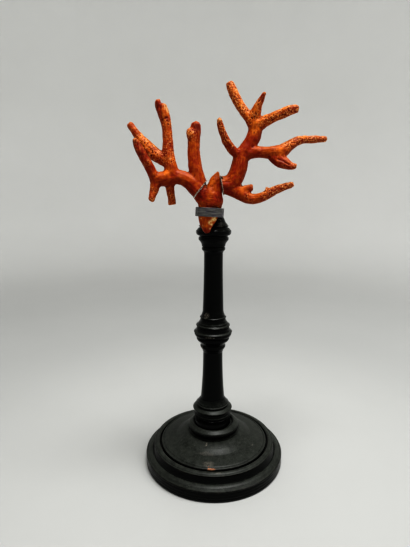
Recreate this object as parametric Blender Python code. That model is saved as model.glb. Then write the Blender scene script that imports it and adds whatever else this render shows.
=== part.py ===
"""Branch of red coral on a turned black stand, at its real size.

Three pieces of coral make the branch: an upright stem, and a cluster of fingers on either side that
thin wire ties to it.  A strip of grey metal clamps the stem to the dowel on top of the turned column,
and the column's tenon stands in the turned base.  The origin is the middle of the base's underside,
+Z is up and the branch spreads along X, a little in front (-Y) of the column.
"""

import math

import bmesh
import bpy
from mathutils import Matrix, Vector
from mathutils.bvhtree import BVHTree
from mathutils.geometry import convex_hull_2d

MM = 0.001
GAP = 0.3 * MM  # left between pieces that touch
TURNED_EDGE = math.radians(40.0)  # a sharper fold than this is an edge, in the turned wood and the metal
CORAL_EDGE = math.radians(60.0)  # and in the coral

# Stand, in millimetres
FOOT_RADIUS = 55.0
BASE_TOP = 32.5
BASE_SIDES = 36
COLUMN_SIDES = 18
COLUMN_PLACE = -1.0  # the column stands this far off the middle of the base along X
COLUMN_LEAN = math.radians(0.5)  # and leans towards +X
TENON_RADIUS = 7.0
TENON_FOOT = 20.0
MORTISE_RADIUS = 7.5
SEAT_GAP = 0.45  # over the base, so that the leaning seat stays clear of it
DOWEL_RADIUS = 5.0
DOWEL_TOP = 204.5
SHOULDER = 195.2

# Metal strip round the stem and the dowel, in millimetres
STRIP_MIDDLE = 199.4
STRIP_HEIGHT = 6.3
STRIP_THICKNESS = 1.0
STRIP_TILT = (math.radians(-2.0), math.radians(3.5), 0.0)
STRIP_CORNERS = [
    # x, y and the radius of the bend, round the inner side
    (-9.6, -20.6, 1.5),
    (4.7, -20.6, 1.5),
    (6.3, -13.0, 4.0),
    (5.9, 4.0, 4.5),
    (0.0, 6.0, 5.0),
    (-5.4, 4.0, 4.5),
    (-12.2, -12.0, 4.0),
]

# Wire, in millimetres
WIRE_RADIUS = 0.4
WIRE_CLEARANCE = 0.45  # over the skin, as the wire runs straight from point to point
WIRE_STEP = 2.0
WIRE_TAIL = 1.8
SECTION_RAYS = 72
SEAM_DEPTHS = (0.3, 0.7, 1.1)  # how far inside a piece its skin is felt for from the seam
LEFT_TAIL = math.radians(250.0)
RIGHT_TAIL = math.radians(10.0)

# Coral, in millimetres
SKIN_VOXEL = 0.8
LUMP_SIZE = 4.5
LUMP_HEIGHT = 0.5
LUMP_MIDDLE = 0.35
PATH_STEPS = 5  # places worked out from one point of a limb to the next
STEM_TRIANGLES = 560
LEFT_TRIANGLES = 1750
RIGHT_TRIANGLES = 2050
SEAM_BLOCK = 60.0
BREAK_BLOCK = 16.0
STEM_DEPTH = -12.5
STEM_FLATTENING = 0.84
TIP_CLOSING = math.radians(80.0)
WEB_SMOOTHING = 5
WEB_FACTOR = 0.5
KERF_REACH = 1.4
KERF_SIDES = 16

# Each limb is a list of (x, y, z, radius) along its middle, from inside what it grows from to its tip.
# A branch of a cluster is parted from what it grows from by a cut across its first limb: fork says
# where, counted in the limb's points.  The cut faces along the limb unless facing says otherwise, and
# reach is its radius over the limb's own there.  A blunt branch ends flat instead of round.
STEM = [
    [
        (-4.5, -17.2, 185.6, 1.9),
        (-5.0, -15.8, 189.7, 4.0),
        (-4.6, -14.2, 193.8, 6.0),
        (-4.0, -13.2, 197.4, 7.4),
        (-3.2, -12.6, 202.0, 7.9),
        (-2.4, -12.5, 206.5, 8.9),
        (-2.2, -12.5, 209.0, 9.1),
    ],
    [
        (-4.0, -12.5, 208.5, 7.8),
        (-9.0, -12.3, 213.9, 6.4),
        (-14.0, -12.2, 219.0, 6.6),
    ],
    [
        (-0.8, -12.5, 210.0, 7.0),
        (0.7, -12.4, 216.5, 5.7),
        (1.5, -12.2, 221.5, 4.5),
        (3.0, -12.0, 226.0, 2.2),
    ],
]

LEFT_CLUSTER = {
    "coral_left_arm": {
        "limbs": [
            [
                (-5.0, -12.5, 210.5, 6.6),
                (-10.2, -12.2, 215.4, 6.4),
                (-15.1, -12.0, 220.0, 5.6),
                (-20.7, -12.0, 223.4, 5.2),
                (-26.0, -12.0, 224.7, 5.0),
                (-34.3, -13.0, 223.4, 5.2),
                (-40.2, -14.0, 223.1, 4.4),
            ]
        ],
    },
    "coral_left_inner_finger": {
        "fork": 2.0,
        "reach": 1.5,
        "limbs": [
            [
                (-8.3, -12.0, 215.0, 5.6),
                (-10.3, -11.5, 222.0, 5.0),
                (-12.5, -10.5, 230.5, 4.9),
                (-13.6, -9.5, 239.0, 4.5),
                (-13.6, -8.5, 247.5, 4.3),
                (-12.8, -8.0, 254.5, 4.2),
                (-12.1, -7.5, 258.9, 3.6),
            ],
            [
                (-13.0, -8.6, 248.5, 3.0),
                (-14.9, -9.0, 252.5, 3.6),
                (-15.8, -9.2, 254.6, 3.1),
            ],
        ],
    },
    "coral_left_tall_finger": {
        "fork": 0.8,
        "limbs": [
            [
                (-28.4, -12.0, 224.5, 5.2),
                (-30.2, -11.5, 233.7, 4.6),
                (-31.2, -11.0, 239.0, 4.2),
                (-31.5, -10.5, 244.5, 3.9),
                (-31.6, -10.0, 250.0, 3.6),
                (-31.9, -9.5, 255.5, 3.4),
                (-32.5, -9.0, 260.5, 3.6),
                (-33.6, -8.6, 266.0, 3.9),
                (-34.3, -8.8, 271.4, 2.9),
            ],
            [
                (-33.6, -8.8, 262.0, 2.4),
                (-36.2, -8.2, 268.0, 2.5),
                (-37.8, -7.8, 272.5, 2.3),
                (-38.0, -7.8, 275.4, 2.0),
            ],
        ],
    },
    "coral_left_upper_finger": {
        "fork": 1.4,
        "limbs": [
            [
                (-31.5, -11.0, 234.5, 4.2),
                (-38.4, -9.5, 238.7, 4.6),
                (-43.5, -8.0, 242.0, 4.9),
                (-48.0, -7.2, 246.8, 4.4),
                (-52.0, -6.0, 252.0, 3.3),
                (-55.4, -5.0, 256.8, 2.6),
                (-58.0, -4.2, 260.4, 2.5),
            ]
        ],
    },
    "coral_left_outer_finger": {
        "fork": 0.8,
        "limbs": [
            [
                (-40.2, -14.0, 222.5, 3.9),
                (-43.2, -16.0, 229.2, 3.4),
                (-46.4, -18.0, 235.5, 3.3),
                (-49.1, -19.5, 240.5, 3.1),
                (-51.2, -20.3, 245.0, 2.7),
                (-52.6, -20.5, 248.0, 2.0),
            ]
        ],
    },
    "coral_left_end_stub": {
        "fork": 1.0,
        "limbs": [
            [
                (-39.8, -14.0, 223.5, 3.9),
                (-40.9, -14.7, 217.5, 3.4),
                (-42.1, -16.0, 213.0, 2.8),
                (-43.1, -17.3, 209.6, 2.4),
            ]
        ],
    },
    "coral_left_middle_stub": {
        "fork": 0.8,
        "blunt": True,
        "limbs": [
            [
                (-31.4, -12.5, 224.0, 4.0),
                (-30.6, -11.2, 217.3, 3.1),
                (-30.0, -10.0, 211.8, 2.8),
                (-29.5, -9.0, 205.2, 3.0),
            ]
        ],
    },
}

RIGHT_CLUSTER = {
    "coral_right_trunk": {
        "limbs": [
            [
                (2.5, -12.5, 218.8, 6.4),
                (8.5, -12.5, 218.7, 6.4),
                (13.0, -12.5, 220.8, 6.2),
                (16.2, -12.2, 226.0, 5.9),
                (18.2, -12.0, 232.0, 5.8),
                (19.5, -11.5, 238.0, 5.4),
                (22.6, -11.0, 243.0, 5.1),
                (26.8, -10.5, 249.0, 4.9),
                (28.8, -10.0, 254.5, 5.0),
                (28.8, -10.0, 260.0, 4.6),
            ]
        ],
    },
    "coral_right_thin_finger": {
        "fork": 1.6,
        "limbs": [
            [
                (19.0, -11.5, 237.0, 3.8),
                (15.6, -13.2, 240.0, 3.2),
                (12.6, -14.7, 242.8, 3.1),
                (9.2, -16.5, 247.0, 3.0),
                (6.7, -18.0, 251.7, 2.7),
                (4.7, -19.5, 256.6, 2.3),
                (3.9, -20.4, 260.9, 1.9),
            ]
        ],
    },
    "coral_crown_left_finger": {
        "fork": 1.6,
        "limbs": [
            [
                (28.0, -10.0, 258.5, 4.0),
                (25.0, -9.0, 264.0, 3.8),
                (21.8, -8.0, 267.9, 3.5),
                (18.6, -7.0, 272.6, 3.4),
                (15.6, -6.0, 278.0, 3.4),
                (13.3, -5.0, 283.2, 3.4),
                (12.0, -4.2, 286.5, 3.2),
            ]
        ],
    },
    "coral_crown_spike": {
        "fork": 1.4,
        "limbs": [
            [
                (28.2, -10.0, 261.0, 3.8),
                (29.2, -11.0, 268.0, 3.6),
                (30.4, -12.0, 271.4, 2.9),
                (32.1, -13.0, 275.0, 2.2),
                (34.2, -14.0, 278.8, 1.3),
            ]
        ],
    },
    "coral_crown_right_finger": {
        "fork": 1.2,
        "limbs": [
            [
                (28.6, -10.0, 257.8, 4.9),
                (33.9, -11.0, 260.6, 4.1),
                (39.0, -12.5, 263.1, 3.6),
                (44.1, -14.0, 265.0, 3.4),
                (49.1, -15.5, 266.8, 3.4),
                (54.6, -16.7, 268.2, 3.1),
            ]
        ],
    },
    "coral_right_middle_arm": {
        "fork": 2.6,
        "reach": 1.8,
        "limbs": [
            [
                (18.0, -11.5, 237.5, 4.5),
                (23.0, -12.2, 239.6, 4.2),
                (27.3, -13.0, 240.5, 3.9),
                (32.4, -14.0, 240.8, 3.9),
                (37.4, -15.0, 240.3, 4.0),
                (42.0, -15.5, 240.4, 4.7),
                (46.6, -15.4, 241.1, 4.5),
                (51.3, -14.2, 244.5, 3.8),
                (56.6, -13.0, 247.7, 3.1),
                (61.2, -12.0, 249.0, 2.8),
                (66.0, -11.2, 249.2, 2.7),
                (71.0, -10.6, 249.5, 2.5),
                (77.2, -10.0, 249.8, 2.2),
            ]
        ],
    },
    "coral_right_hook": {
        "fork": 1.4,
        "facing": (0.55, -0.45, -0.7),
        "reach": 2.2,
        "limbs": [
            [
                (40.6, -15.5, 238.5, 3.8),
                (43.6, -17.5, 234.6, 3.6),
                (47.2, -19.5, 232.3, 3.1),
                (51.1, -21.0, 231.0, 2.3),
                (54.6, -22.0, 230.7, 2.0),
            ],
            [
                (45.8, -16.2, 238.0, 2.5),
                (48.5, -18.3, 235.4, 2.2),
                (51.0, -20.4, 233.0, 1.8),
            ],
        ],
    },
    "coral_right_lower_arm": {
        "fork": 2.0,
        "reach": 1.9,
        "limbs": [
            [
                (8.5, -12.5, 218.0, 6.0),
                (12.2, -12.6, 216.5, 5.4),
                (17.2, -13.0, 214.0, 4.9),
                (21.4, -14.0, 211.3, 4.5),
                (25.6, -15.0, 209.3, 3.8),
                (29.8, -16.0, 209.3, 3.5),
                (34.2, -17.0, 210.6, 3.4),
                (38.4, -18.0, 212.8, 3.3),
                (42.9, -19.0, 215.3, 3.0),
                (47.7, -20.0, 217.0, 2.6),
                (52.8, -20.8, 218.6, 2.3),
            ],
            [
                (17.5, -14.0, 213.5, 3.2),
                (20.6, -14.0, 215.4, 3.2),
                (23.6, -13.9, 216.4, 2.7),
                (26.1, -13.7, 216.9, 2.5),
            ],
            [
                (37.8, -17.7, 213.5, 1.4),
                (36.7, -17.0, 216.2, 1.2),
            ],
        ],
    },
}

# The seams where the clusters meet the stem: a point on the seam and the way out of the stem
LEFT_SEAM = (Vector((-9.8, -12.3, 215.1)), Vector((-0.78, 0.0, 0.626)))
RIGHT_SEAM = (Vector((5.6, -12.5, 218.2)), Vector((0.985, 0.0, 0.17)))

# The broken face on the stem's foot: its middle and the way it looks
FOOT_BREAK = (Vector((-2.7, -17.5, 191.5)), Vector((0.57, -0.81, -0.15)))


def clear_scene():
    for thing in list(bpy.data.objects):
        bpy.data.objects.remove(thing, do_unlink=True)


def material(name, colour, roughness, metallic=0.0):
    """A Principled surface of one colour."""
    made = bpy.data.materials.new(name)
    made.use_nodes = True
    shader = made.node_tree.nodes["Principled BSDF"]
    shader.inputs["Base Color"].default_value = (*colour, 1.0)
    shader.inputs["Roughness"].default_value = roughness
    shader.inputs["Metallic"].default_value = metallic
    return made


def add_object(name, data, surface=None):
    made = bpy.data.objects.new(name, data)
    bpy.context.scene.collection.objects.link(made)
    if surface is not None:
        made.data.materials.clear()
        made.data.materials.append(surface)
    return made


def finished_mesh(source):
    """The mesh that an object has once its modifiers have run; the object itself goes."""
    graph = bpy.context.evaluated_depsgraph_get()
    graph.update()
    mesh = bpy.data.meshes.new_from_object(source.evaluated_get(graph))
    bpy.data.objects.remove(source, do_unlink=True)
    return mesh


def round_shading(mesh, sharp_from):
    mesh.shade_smooth()
    mesh.set_sharp_from_angle(angle=sharp_from)


def mesh_of(shape, name):
    mesh = bpy.data.meshes.new(name)
    shape.to_mesh(mesh)
    shape.free()
    return mesh


def add_round_block(shape, radius, depth, sides, place):
    bmesh.ops.create_cone(
        shape, cap_ends=True, segments=sides, radius1=radius, radius2=radius, depth=depth, matrix=place
    )


def cut(mesh, cutter_mesh):
    """The mesh less the cutter."""
    body = add_object("body", mesh)
    cutter = add_object("cutter", cutter_mesh)
    cutter.hide_render = True
    cutter.display_type = "WIRE"
    difference = body.modifiers.new("cut", "BOOLEAN")
    difference.operation = "DIFFERENCE"
    difference.object = cutter
    result = finished_mesh(body)
    bpy.data.objects.remove(cutter, do_unlink=True)
    return result


# Turned wood -----------------------------------------------------------------------------------------


def bead(bottom, top, radius, bulge, steps=4):
    """Half-round moulding: (radius, height) points from its lower edge to its upper one."""
    found = []
    for k in range(steps + 1):
        turn = math.pi * k / steps
        height = bottom + (top - bottom) * (1.0 - math.cos(turn)) / 2.0
        found.append((radius + bulge * math.sin(turn), height))
    return found


def sweep(start, end, bend, steps=4):
    """Curved stretch from one (radius, height) to another, bulging out by bend, or in if negative."""
    found = []
    for k in range(steps + 1):
        t = k / steps
        radius = start[0] + (end[0] - start[0]) * t
        height = start[1] + (end[1] - start[1]) * t
        found.append((radius + bend * math.sin(math.pi * t), height))
    return found


def turned(name, profile, sides, surface):
    """A solid turned round Z from (radius, height) points in millimetres that start and end on the axis."""
    shape = bmesh.new()
    points = [shape.verts.new((r * MM, 0.0, z * MM)) for r, z in profile]
    for low, high in zip(points, points[1:]):
        shape.edges.new((low, high))
    bmesh.ops.spin(
        shape,
        geom=shape.verts[:] + shape.edges[:],
        axis=(0.0, 0.0, 1.0),
        cent=(0.0, 0.0, 0.0),
        angle=math.tau,
        steps=sides,
        use_merge=True,
    )
    bmesh.ops.remove_doubles(shape, verts=shape.verts, dist=0.01 * MM)
    bmesh.ops.recalc_face_normals(shape, faces=shape.faces)
    mesh = mesh_of(shape, name)
    round_shading(mesh, TURNED_EDGE)
    return add_object(name, mesh, surface)


def make_base(surface):
    profile = [
        (0.0, 0.0),
        (FOOT_RADIUS, 0.0),
        (FOOT_RADIUS, 8.0),
        (53.4, 9.8),
        *sweep((50.0, 11.0), (47.7, 15.1), -0.9, 2),
        (47.7, 17.0),
        (43.4, 17.0),
        (42.7, 16.4),
        *sweep((42.0, 17.4), (19.0, 25.6), 0.8, 3),
        *bead(26.0, 31.6, 17.4, 3.1, 4),
        (16.6, BASE_TOP),
        (0.0, BASE_TOP),
    ]
    base = turned("stand_base", profile, BASE_SIDES, surface)
    mortise = bmesh.new()
    place = Matrix.Translation((COLUMN_PLACE * MM, 0.0, BASE_TOP * MM))
    depth = (BASE_TOP - TENON_FOOT) * MM + GAP
    add_round_block(mortise, MORTISE_RADIUS * MM, 2.0 * depth, COLUMN_SIDES, place)
    base.data = cut(base.data, mesh_of(mortise, "mortise"))


def make_column(surface):
    seat = BASE_TOP + SEAT_GAP
    profile = [
        (0.0, TENON_FOOT),
        (TENON_RADIUS, TENON_FOOT),
        (TENON_RADIUS, seat),
        (14.5, seat),
        (14.4, 39.5),
        *bead(40.4, 45.4, 14.2, 0.9, 3),
        (12.9, 48.0),
        *sweep((9.6, 52.4), (7.65, 91.6), -0.3, 2),
        *bead(92.6, 97.8, 8.7, 1.0, 3),
        *sweep((10.2, 98.4), (12.6, 103.0), 0.4, 2),
        *bead(103.8, 110.6, 12.6, 1.95, 4),
        *bead(111.2, 115.2, 11.6, 1.1, 2),
        (9.8, 119.6),
        (8.1, 123.2),
        *sweep((8.0, 126.0), (7.15, 169.4), -0.15, 2),
        (8.8, 173.0),
        (9.3, 176.2),
        *bead(178.4, 182.2, 10.3, 1.0, 2),
        *bead(182.6, 188.8, 11.0, 2.3, 4),
        *bead(189.0, 191.4, 9.7, 1.0, 2),
        (8.2, 193.8),
        (7.2, SHOULDER),
        (DOWEL_RADIUS, SHOULDER + 0.2),
        (DOWEL_RADIUS, DOWEL_TOP),
        (0.0, DOWEL_TOP),
    ]
    column = turned("stand_column", profile, COLUMN_SIDES, surface)
    seat_to_origin = Matrix.Translation((0.0, 0.0, -BASE_TOP * MM))
    origin_to_place = Matrix.Translation((COLUMN_PLACE * MM, 0.0, BASE_TOP * MM))
    column.data.transform(origin_to_place @ Matrix.Rotation(COLUMN_LEAN, 4, "Y") @ seat_to_origin)


# Coral -----------------------------------------------------------------------------------------------


def smooth_path(points):
    """Points along a smooth curve through the given ones, radius included."""
    knots = [Vector(p) for p in points]
    ends = [2 * knots[0] - knots[1], *knots, 2 * knots[-1] - knots[-2]]
    found = []
    for k in range(len(knots) - 1):
        before, start, end, after = ends[k : k + 4]
        leaving = (end - before) / 2
        arriving = (after - start) / 2
        for step in range(PATH_STEPS):
            t = step / PATH_STEPS
            straight = start + (end - start) * t * t * (3 - 2 * t)
            found.append(straight + leaving * t * (1 - t) ** 2 - arriving * t * t * (1 - t))
    return [*found, knots[-1]]


def rounded_tip(path, steps=3):
    """The end of a limb closing like a ball, all but its very pole: the points to add past its last one."""
    tip = path[-1]
    along = (tip.to_3d() - path[-2].to_3d()).normalized()
    found = []
    for k in range(1, steps + 1):
        turn = TIP_CLOSING * k / steps
        place = tip.to_3d() + along * tip.w * math.sin(turn)
        found.append(Vector((*place, tip.w * math.cos(turn))))
    return found


def limb_tubes(limbs):
    """Tapering closed tubes, in one mesh, along limbs given with whether their ends are cut off blunt."""
    curve = bpy.data.curves.new("limbs", "CURVE")
    curve.dimensions = "3D"
    curve.bevel_depth = MM
    curve.bevel_resolution = 4
    curve.use_fill_caps = True
    for limb, blunt in limbs:
        path = smooth_path(limb)
        if not blunt:
            path += rounded_tip(path)
        spline = curve.splines.new("POLY")
        spline.points.add(len(path) - 1)
        for point, place in zip(spline.points, path):
            point.co = (*(place.to_3d() * MM), 1.0)
            point.radius = place.w
    return finished_mesh(add_object("limbs", curve))


def grown_together(tubes, triangles):
    """One closed skin over all the tubes, webbed at the forks, gently lumpy, of about so many triangles."""
    body = add_object("grown", tubes)
    skin = body.modifiers.new("skin", "REMESH")
    skin.mode = "VOXEL"
    skin.voxel_size = SKIN_VOXEL * MM
    webs = body.modifiers.new("webs", "SMOOTH")
    webs.factor = WEB_FACTOR
    webs.iterations = WEB_SMOOTHING
    texture = bpy.data.textures.new("lumps", "CLOUDS")
    texture.noise_scale = LUMP_SIZE * MM
    texture.noise_depth = 1
    lumps = body.modifiers.new("lumps", "DISPLACE")
    lumps.texture = texture
    lumps.texture_coords = "GLOBAL"
    lumps.strength = LUMP_HEIGHT * MM
    lumps.mid_level = LUMP_MIDDLE
    fine = finished_mesh(body)
    coarse = add_object("coarse", fine)
    fewer = coarse.modifiers.new("fewer", "DECIMATE")
    fewer.ratio = triangles / (2 * len(fine.polygons))
    fewer.use_collapse_triangulate = True
    return finished_mesh(coarse)


def cut_flat(mesh, middle, facing, block_size, short_by=0.0):
    """The mesh less a block that stands on the plane through the middle, on the side that it faces."""
    block = bmesh.new()
    bmesh.ops.create_cube(block, size=block_size * MM)
    place = middle * MM + facing * (0.5 * block_size * MM - short_by)
    turn = facing.to_track_quat("Z", "Y").to_matrix().to_4x4()
    bmesh.ops.transform(block, matrix=Matrix.Translation(place) @ turn, verts=block.verts)
    return cut(mesh, mesh_of(block, "block"))


def trimmed_at_seam(mesh, seam, side):
    """The mesh ending flat half a gap short of the seam, on the stem's side of it (1) or the other (-1)."""
    middle, outward = seam
    return cut_flat(mesh, middle, outward * side, SEAM_BLOCK, GAP / 2.0)


def fork_kerfs(branches):
    """Thin round slices, one across the foot of each branch that has a fork."""
    slices = bmesh.new()
    for branch in branches.values():
        if "fork" not in branch:
            continue
        path = smooth_path(branch["limbs"][0])
        at = round(branch["fork"] * PATH_STEPS)
        along = path[at + 1].to_3d() - path[at - 1].to_3d()
        facing = Vector(branch.get("facing", along)).to_track_quat("Z", "Y")
        place = Matrix.Translation(path[at].to_3d() * MM) @ facing.to_matrix().to_4x4()
        reach = path[at].w * branch.get("reach", KERF_REACH) * MM
        add_round_block(slices, reach, GAP, KERF_SIDES, place)
    return mesh_of(slices, "kerfs")


def loose_pieces(mesh, surface):
    """The closed bodies that a mesh holds, each as an object of its own."""
    whole = add_object("whole", mesh, surface)
    bpy.ops.object.select_all(action="DESELECT")
    bpy.context.view_layer.objects.active = whole
    whole.select_set(True)
    bpy.ops.mesh.separate(type="LOOSE")
    return list(bpy.context.selected_objects)


def distance_to(piece, point):
    return (piece.closest_point_on_mesh(point)[1] - point).length


def make_cluster(branches, seam, triangles, surface):
    """The branches grown together, cut flat at the seam and parted at their forks, each by its own name."""
    limbs = [(limb, branch.get("blunt", False)) for branch in branches.values() for limb in branch["limbs"]]
    skin = trimmed_at_seam(grown_together(limb_tubes(limbs), triangles), seam, -1)
    pieces = loose_pieces(cut(skin, fork_kerfs(branches)), surface)
    for name, branch in branches.items():
        path = smooth_path(branch["limbs"][0])
        fork = round(branch.get("fork", 0.0) * PATH_STEPS)
        halfway = path[(fork + len(path)) // 2].to_3d() * MM
        piece = min(pieces, key=lambda candidate: distance_to(candidate, halfway))
        pieces.remove(piece)
        piece.name = name
        round_shading(piece.data, CORAL_EDGE)


def make_stem(triangles, surface):
    """The upright stem, a little flattened from front to back, with a flat cut for each cluster."""
    skin = grown_together(limb_tubes([(limb, False) for limb in STEM]), triangles)
    for vertex in skin.vertices:
        vertex.co.y = STEM_DEPTH * MM + (vertex.co.y - STEM_DEPTH * MM) * STEM_FLATTENING
    skin = trimmed_at_seam(skin, LEFT_SEAM, 1)
    skin = trimmed_at_seam(skin, RIGHT_SEAM, 1)
    skin = cut_flat(skin, *FOOT_BREAK, BREAK_BLOCK)
    round_shading(skin, CORAL_EDGE)
    return add_object("coral_stem", skin, surface)


# Metal -----------------------------------------------------------------------------------------------


def bent_outline(corners, steps=2):
    """Points round a closed strip bent at its corners, each corner an arc of its own radius."""
    found = []
    count = len(corners)
    for k, (x, y, radius) in enumerate(corners):
        corner = Vector((x, y))
        before = (Vector(corners[k - 1][:2]) - corner).normalized()
        after = (Vector(corners[(k + 1) % count][:2]) - corner).normalized()
        half = before.angle(after) / 2.0
        centre = corner + (before + after).normalized() * radius / math.sin(half)
        first = corner + before * radius / math.tan(half) - centre
        last = corner + after * radius / math.tan(half) - centre
        turn = first.angle_signed(last)
        for step in range(steps + 1):
            arm = first.copy()
            arm.rotate(Matrix.Rotation(-turn * step / steps, 2))
            found.append(centre + arm)
    return found


def make_band(surface):
    inner = bent_outline(STRIP_CORNERS)
    count = len(inner)
    shape = bmesh.new()
    rings = []
    for spread, height in ((0.0, -0.5), (1.0, -0.5), (1.0, 0.5), (0.0, 0.5)):
        ring = []
        for k, point in enumerate(inner):
            along = inner[(k + 1) % count] - inner[k - 1]
            out = Vector((along.y, -along.x)).normalized()
            place = point + out * STRIP_THICKNESS * spread
            ring.append(shape.verts.new((place.x * MM, place.y * MM, STRIP_HEIGHT * height * MM)))
        rings.append(ring)
    for a, b in zip(rings, [*rings[1:], rings[0]]):
        for k in range(count):
            shape.faces.new((a[k], a[(k + 1) % count], b[(k + 1) % count], b[k]))
    bmesh.ops.recalc_face_normals(shape, faces=shape.faces)
    mesh = mesh_of(shape, "clamp_band")
    round_shading(mesh, TURNED_EDGE)
    band = add_object("clamp_band", mesh, surface)
    band.location = (0.0, 0.0, STRIP_MIDDLE * MM)
    band.rotation_euler = STRIP_TILT


def section_outline(seam, pieces):
    """The outline of what meets at a seam, as points in the seam's plane, and the plane's two axes."""
    middle, outward = seam
    across = Vector((0.0, 1.0, 0.0))
    up = outward.cross(across)
    graph = bpy.context.evaluated_depsgraph_get()
    graph.update()
    trees = [BVHTree.FromObject(piece, graph) for piece in pieces]
    found = []
    for k in range(SECTION_RAYS):
        turn = math.tau * k / SECTION_RAYS
        way = across * math.cos(turn) + up * math.sin(turn)
        exits = [
            tree.ray_cast((middle + outward * side * depth) * MM, way)[3]
            for tree, side in zip(trees, (-1, 1))
            for depth in SEAM_DEPTHS
        ]
        reach = max(distance for distance in exits if distance is not None)
        found.append(Vector((math.cos(turn), math.sin(turn))) * reach)
    return found, across, up


def make_wire(name, seam, pieces, tail_turn, surface):
    """Wire pulled tight round a seam, over the skins of the pieces it ties, its two ends turned out."""
    outline, across, up = section_outline(seam, pieces)
    hull = [outline[k] for k in convex_hull_2d(outline)]
    tail = Vector((math.cos(tail_turn), math.sin(tail_turn)))
    first = max(range(len(hull)), key=lambda k: hull[k].normalized().dot(tail))
    hull = hull[first:] + hull[:first]
    clear = (WIRE_RADIUS + WIRE_CLEARANCE) * MM
    ring = [hull[0]]
    for corner in hull[1:]:
        if (corner - ring[-1]).length > WIRE_STEP * MM and (corner - hull[0]).length > WIRE_STEP * MM:
            ring.append(corner)
    spread = Vector((-tail.y, tail.x)) * clear
    start = hull[0] + tail * clear
    route = [start + tail * WIRE_TAIL * MM + spread, start + spread]
    for k in range(1, len(ring)):
        along = ring[(k + 1) % len(ring)] - ring[k - 1]
        out = Vector((along.y, -along.x)).normalized()
        route.append(ring[k] + out * math.copysign(clear, out.dot(ring[k])))
    route += [start - spread, start + tail * WIRE_TAIL * MM - spread]
    curve = bpy.data.curves.new(name, "CURVE")
    curve.dimensions = "3D"
    curve.bevel_depth = WIRE_RADIUS * MM
    curve.bevel_resolution = 1
    curve.use_fill_caps = True
    spline = curve.splines.new("POLY")
    spline.points.add(len(route) - 1)
    for point, place in zip(spline.points, route):
        point.co = (*(seam[0] * MM + across * place.x + up * place.y), 1.0)
    add_object(name, curve, surface)


def main():
    clear_scene()
    coral = material("red coral", (0.42, 0.06, 0.02), 0.5)
    wood = material("black turned wood", (0.015, 0.014, 0.013), 0.35)
    grey = material("grey strip metal", (0.16, 0.16, 0.17), 0.55, 0.8)
    silver = material("thin wire", (0.6, 0.55, 0.5), 0.35, 1.0)
    make_base(wood)
    make_column(wood)
    stem = make_stem(STEM_TRIANGLES, coral)
    make_cluster(LEFT_CLUSTER, LEFT_SEAM, LEFT_TRIANGLES, coral)
    make_cluster(RIGHT_CLUSTER, RIGHT_SEAM, RIGHT_TRIANGLES, coral)
    make_band(grey)
    left_arm = bpy.data.objects["coral_left_arm"]
    trunk = bpy.data.objects["coral_right_trunk"]
    make_wire("wire_left", LEFT_SEAM, (stem, left_arm), LEFT_TAIL, silver)
    make_wire("wire_right", RIGHT_SEAM, (stem, trunk), RIGHT_TAIL, silver)


main()
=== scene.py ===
"""Looks of the red coral branch: grown coral, worn black turned wood, grey strip and thin wire.

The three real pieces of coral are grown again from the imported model's solids as dense meshes, and carved
with lumps, streaks along their branches, pits and broken faces.  The stand is turned again with finer
mouldings and wear, the strip's edges are rounded, and the wires are made thinner, with twisted ends.
Sizes are in millimetres and shares run from 0 to 1, unless a comment says otherwise.
"""

import math

import bmesh
import bpy
import numpy as np
from mathutils import Matrix, Vector, noise
from mathutils.bvhtree import BVHTree
from mathutils.geometry import convex_hull_2d


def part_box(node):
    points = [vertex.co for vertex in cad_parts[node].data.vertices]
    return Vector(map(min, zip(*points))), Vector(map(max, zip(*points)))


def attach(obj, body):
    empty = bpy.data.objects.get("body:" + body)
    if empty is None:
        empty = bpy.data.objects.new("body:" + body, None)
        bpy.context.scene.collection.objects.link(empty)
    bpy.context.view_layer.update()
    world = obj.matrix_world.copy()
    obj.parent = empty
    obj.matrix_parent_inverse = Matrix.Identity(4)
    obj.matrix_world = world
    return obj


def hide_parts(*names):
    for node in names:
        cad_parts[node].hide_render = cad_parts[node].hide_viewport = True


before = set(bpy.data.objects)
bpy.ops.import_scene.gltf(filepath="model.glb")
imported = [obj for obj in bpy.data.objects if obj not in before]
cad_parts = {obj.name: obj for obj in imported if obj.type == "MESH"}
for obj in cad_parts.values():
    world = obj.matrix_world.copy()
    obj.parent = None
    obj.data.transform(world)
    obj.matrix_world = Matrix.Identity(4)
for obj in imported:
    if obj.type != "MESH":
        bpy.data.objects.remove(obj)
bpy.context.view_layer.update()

MM = 0.001
WELD = 0.001 * MM
FLAT_COSINE = math.cos(math.radians(3.0))
SHARP_ANGLE = math.radians(50.0)
END_DEPTH = 0.3  # within which a turned CAD node's end face lies

# How a branch of the coral looks: pitted at its fork and at its tip, orange at its fork and at its tip
BRANCH_LOOK = {
    "coral_stem": (0.1, 0.1, 0.5, 0.5),
    "coral_left_arm": (0.1, 0.15, 0.3, 0.3),
    "coral_left_inner_finger": (0.05, 0.45, 0.45, 0.3),
    "coral_left_tall_finger": (0.5, 0.4, 0.6, 0.55),
    "coral_left_upper_finger": (0.75, 0.35, 0.8, 0.55),
    "coral_left_outer_finger": (0.15, 0.65, 0.1, 0),
    "coral_left_end_stub": (0.3, 0.6, 0.45, 0.4),
    "coral_left_middle_stub": (0.3, 0.6, 0.45, 0.5),
    "coral_right_trunk": (0.1, 0.25, 0.15, 0.4),
    "coral_right_thin_finger": (0.35, 0.65, 0.1, 0.3),
    "coral_crown_left_finger": (0.8, 1, 0.8, 0.8),
    "coral_crown_spike": (0.6, 0.5, 1, 0.5),
    "coral_crown_right_finger": (0.7, 0.9, 1, 0.7),
    "coral_right_middle_arm": (0.1, 1, 0.35, 0.4),
    "coral_right_hook": (0.2, 0.5, 0.15, 0.45),
    "coral_right_lower_arm": (0.2, 0.85, 0.4, 0.2),
}
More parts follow.
